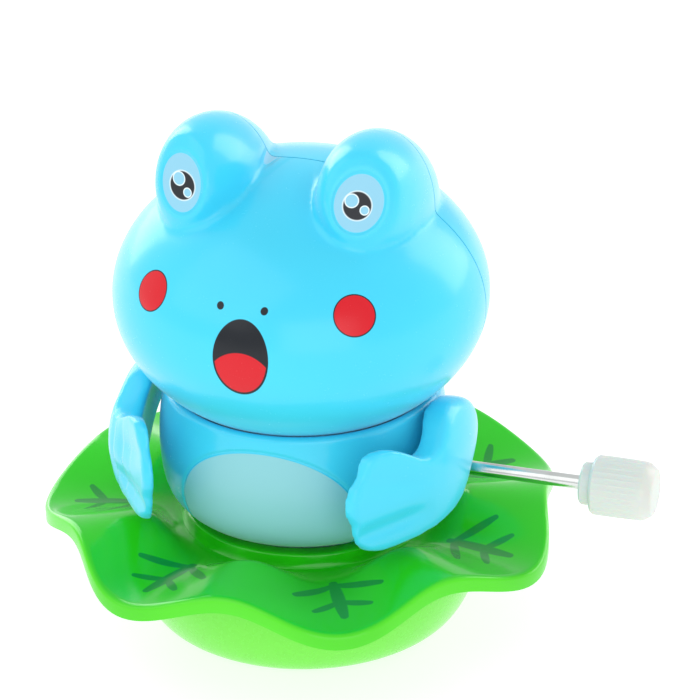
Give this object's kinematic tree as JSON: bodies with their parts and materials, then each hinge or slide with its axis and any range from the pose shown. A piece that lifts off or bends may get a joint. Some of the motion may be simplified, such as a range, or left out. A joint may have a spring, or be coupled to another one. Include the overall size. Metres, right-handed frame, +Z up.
{
  "type": "wind-up frog toy",
  "caption": "Clockwork toy frog on a wavy lily pad over a round base bowl, with a side winding knob, wheels underneath and a wagging head.",
  "frame": {"origin": "on the frog's upright axis, in the flat underside of the base plate; the wheels stand 0.9 mm below it", "axes": "+Z up, -Y the way the frog faces, +X the frog's left, where the winding knob is"},
  "size_m": [0.106, 0.0877, 0.0917],
  "materials": {
    "frog_plastic": "high-gloss moulded, soft translucent edges",
    "leaf_plastic": "high-gloss moulded",
    "bowl_plastic": "gloss moulded",
    "base_plastic": "fine spark texture",
    "knob_plastic": "milky translucent moulded",
    "rod_steel": "bright plated",
    "arbor_steel": "ground",
    "screw_steel": "zinc plated",
    "motor_plastic": "natural moulded",
    "gear_plastic": "natural acetal",
    "pinion_brass": "cut",
    "spring_steel": "blued",
    "wheel_plastic": "moulded",
    "tyre_rubber": "soft rubber"
  },
  "bodies": {
    "root": {"base_plate": "base_plastic", "base_bowl": "bowl_plastic", "lily_pad": "leaf_plastic", "base_screws": "screw_steel", "collar_screws": "screw_steel", "body_front_shell": "frog_plastic", "body_back_shell": "frog_plastic", "body_screws": "screw_steel", "left_arm": "frog_plastic", "right_arm": "frog_plastic", "motor_left_plate": "motor_plastic", "motor_right_plate": "motor_plastic", "motor_pillars": "motor_plastic", "motor_screws": "screw_steel", "spring_cage": "motor_plastic", "mainspring": "spring_steel", "neck_bridge": "motor_plastic", "neck_washer": "screw_steel", "neck_screw": "screw_steel"},
    "winding": {"winding_shaft": "rod_steel", "winding_knob": "knob_plastic", "great_gear": "gear_plastic"},
    "second": {"second_arbor": "arbor_steel", "second_pinion": "pinion_brass", "second_gear": "gear_plastic"},
    "drive": {"drive_axle": "arbor_steel", "drive_gear": "gear_plastic", "left_drive_wheel": "wheel_plastic", "right_drive_wheel": "wheel_plastic", "left_tyre": "tyre_rubber", "right_tyre": "tyre_rubber"},
    "escape": {"escape_arbor": "arbor_steel", "escape_pinion": "pinion_brass", "escape_wheel": "gear_plastic"},
    "pallet": {"pallet_arbor": "arbor_steel", "pallet_anchor": "gear_plastic"},
    "crank": {"crank_arbor": "arbor_steel", "crank_gear": "gear_plastic", "crank_disc": "gear_plastic"},
    "nose": {"nose_wheel": "wheel_plastic", "nose_axle": "arbor_steel"},
    "head": {"head_front_shell": "frog_plastic", "head_back_shell": "frog_plastic", "head_screws": "screw_steel", "head_carrier": "motor_plastic"}
  },
  "joints": [
    {"name": "winding_spin", "type": "hinge", "parent": "root", "child": "winding", "pos_m": [0, 0, 0.02982], "axis": [1, 0, 0], "continuous": true},
    {"name": "second_spin", "type": "hinge", "parent": "root", "child": "second", "pos_m": [0, 0, 0.01732], "axis": [1, 0, 0], "continuous": true},
    {"name": "drive_spin", "type": "hinge", "parent": "root", "child": "drive", "pos_m": [0, 0.00721, 0.0065], "axis": [1, 0, 0], "continuous": true},
    {"name": "escape_spin", "type": "hinge", "parent": "root", "child": "escape", "pos_m": [0, -0.00949, 0.01082], "axis": [1, 0, 0], "continuous": true},
    {"name": "crank_spin", "type": "hinge", "parent": "root", "child": "crank", "pos_m": [0, 0, 0.04282], "axis": [1, 0, 0], "continuous": true},
    {"name": "nose_spin", "type": "hinge", "parent": "root", "child": "nose", "pos_m": [0, -0.0172, 0.0026], "axis": [0.9781, 0.2079, 0], "continuous": true},
    {"name": "pallet_rock", "type": "hinge", "parent": "root", "child": "pallet", "pos_m": [0, -0.00949, 0.00442], "axis": [1, 0, 0], "range_deg": [-5, 5]},
    {"name": "head_swing", "type": "hinge", "parent": "root", "child": "head", "pos_m": [0, 0, 0.0482], "axis": [0, 0, 1], "range_deg": [-10, 10]}
  ],
  "couplings": [
    {"joint": "second_spin", "follows": "winding_spin", "ratio": -4},
    {"joint": "drive_spin", "follows": "winding_spin", "ratio": 9},
    {"joint": "escape_spin", "follows": "winding_spin", "ratio": 14.4},
    {"joint": "crank_spin", "follows": "winding_spin", "ratio": -3.3333}
  ]
}
